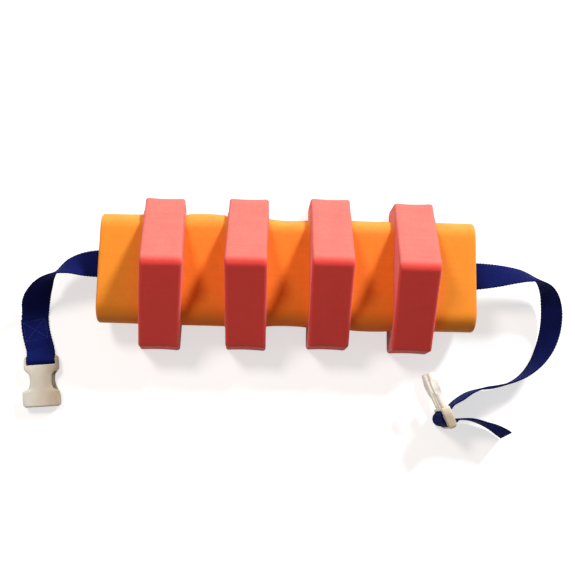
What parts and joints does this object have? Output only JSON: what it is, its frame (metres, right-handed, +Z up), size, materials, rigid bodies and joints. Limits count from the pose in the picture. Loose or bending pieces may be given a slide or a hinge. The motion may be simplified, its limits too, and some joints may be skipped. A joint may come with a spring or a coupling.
{
  "type": "foam swim belt",
  "caption": "Child's swim belt: a flat foam slab carrying sliding roof-shaped foam floats, on a webbing strap with a side-release buckle, laid open on its back.",
  "frame": {"origin": "on the surface that the belt lies on, under the middle of the slab and floats", "axes": "+X along the belt towards the prong half of the buckle's strap, +Y across it, +Z up, out through the ridges of the floats"},
  "size_m": [0.4724, 0.2019, 0.0799],
  "materials": {
    "orange_foam": "closed-cell polyethylene foam with a fine skin, matt orange",
    "coral_foam": "closed-cell polyethylene foam with a fine skin, matt coral red",
    "navy_webbing": "woven polypropylene webbing, ribbed across, navy blue",
    "navy_thread": "polyester sewing thread, navy blue",
    "white_acetal": "moulded acetal, warm off-white with a soft sheen"
  },
  "bodies": {
    "root": {"core_slab": "orange_foam", "webbing_left": "navy_webbing", "webbing_core": "navy_webbing", "webbing_right": "navy_webbing", "webbing_tail": "navy_webbing", "box_stitch": "navy_thread"},
    "float_1": {"float_block_1": "coral_foam"},
    "float_2": {"float_block_2": "coral_foam"},
    "float_3": {"float_block_3": "coral_foam"},
    "float_4": {"float_block_4": "coral_foam"},
    "socket_half": {"buckle_socket": "white_acetal"},
    "prong_half": {"buckle_prong_body": "white_acetal"},
    "prong_left": {"buckle_prong_left": "white_acetal"},
    "prong_right": {"buckle_prong_right": "white_acetal"}
  },
  "joints": [
    {"name": "float_1_slide", "type": "slide", "parent": "root", "child": "float_1", "axis": [1, 0, 0], "range_m": [-0.0355, 0.0175]},
    {"name": "float_2_slide", "type": "slide", "parent": "root", "child": "float_2", "axis": [1, 0, 0], "range_m": [-0.0175, 0.0175]},
    {"name": "float_3_slide", "type": "slide", "parent": "root", "child": "float_3", "axis": [1, 0, 0], "range_m": [-0.0175, 0.0175]},
    {"name": "float_4_slide", "type": "slide", "parent": "root", "child": "float_4", "axis": [1, 0, 0], "range_m": [-0.0175, 0.0355]},
    {"name": "socket_swivel", "type": "hinge", "parent": "root", "child": "socket_half", "pos_m": [-0.2111, -0.0792, 0.005], "axis": [0.9962, 0.0872, 0], "range_deg": [-80, 80]},
    {"name": "prong_half_tilt", "type": "hinge", "parent": "root", "child": "prong_half", "pos_m": [0.138, -0.1193, 0.0165], "axis": [0, 0, 1], "range_deg": [-6, 6]},
    {"name": "prong_left_flex", "type": "hinge", "parent": "prong_half", "child": "prong_left", "pos_m": [0.13378, -0.10936, 0.0061], "axis": [0.9205, 0.3907, 0], "range_deg": [0, 8], "stiffness_Nm_per_rad": 3},
    {"name": "prong_right_flex", "type": "hinge", "parent": "prong_half", "child": "prong_right", "pos_m": [0.13378, -0.10936, 0.0269], "axis": [0.9205, 0.3907, 0], "range_deg": [-8, 0], "stiffness_Nm_per_rad": 3}
  ]
}
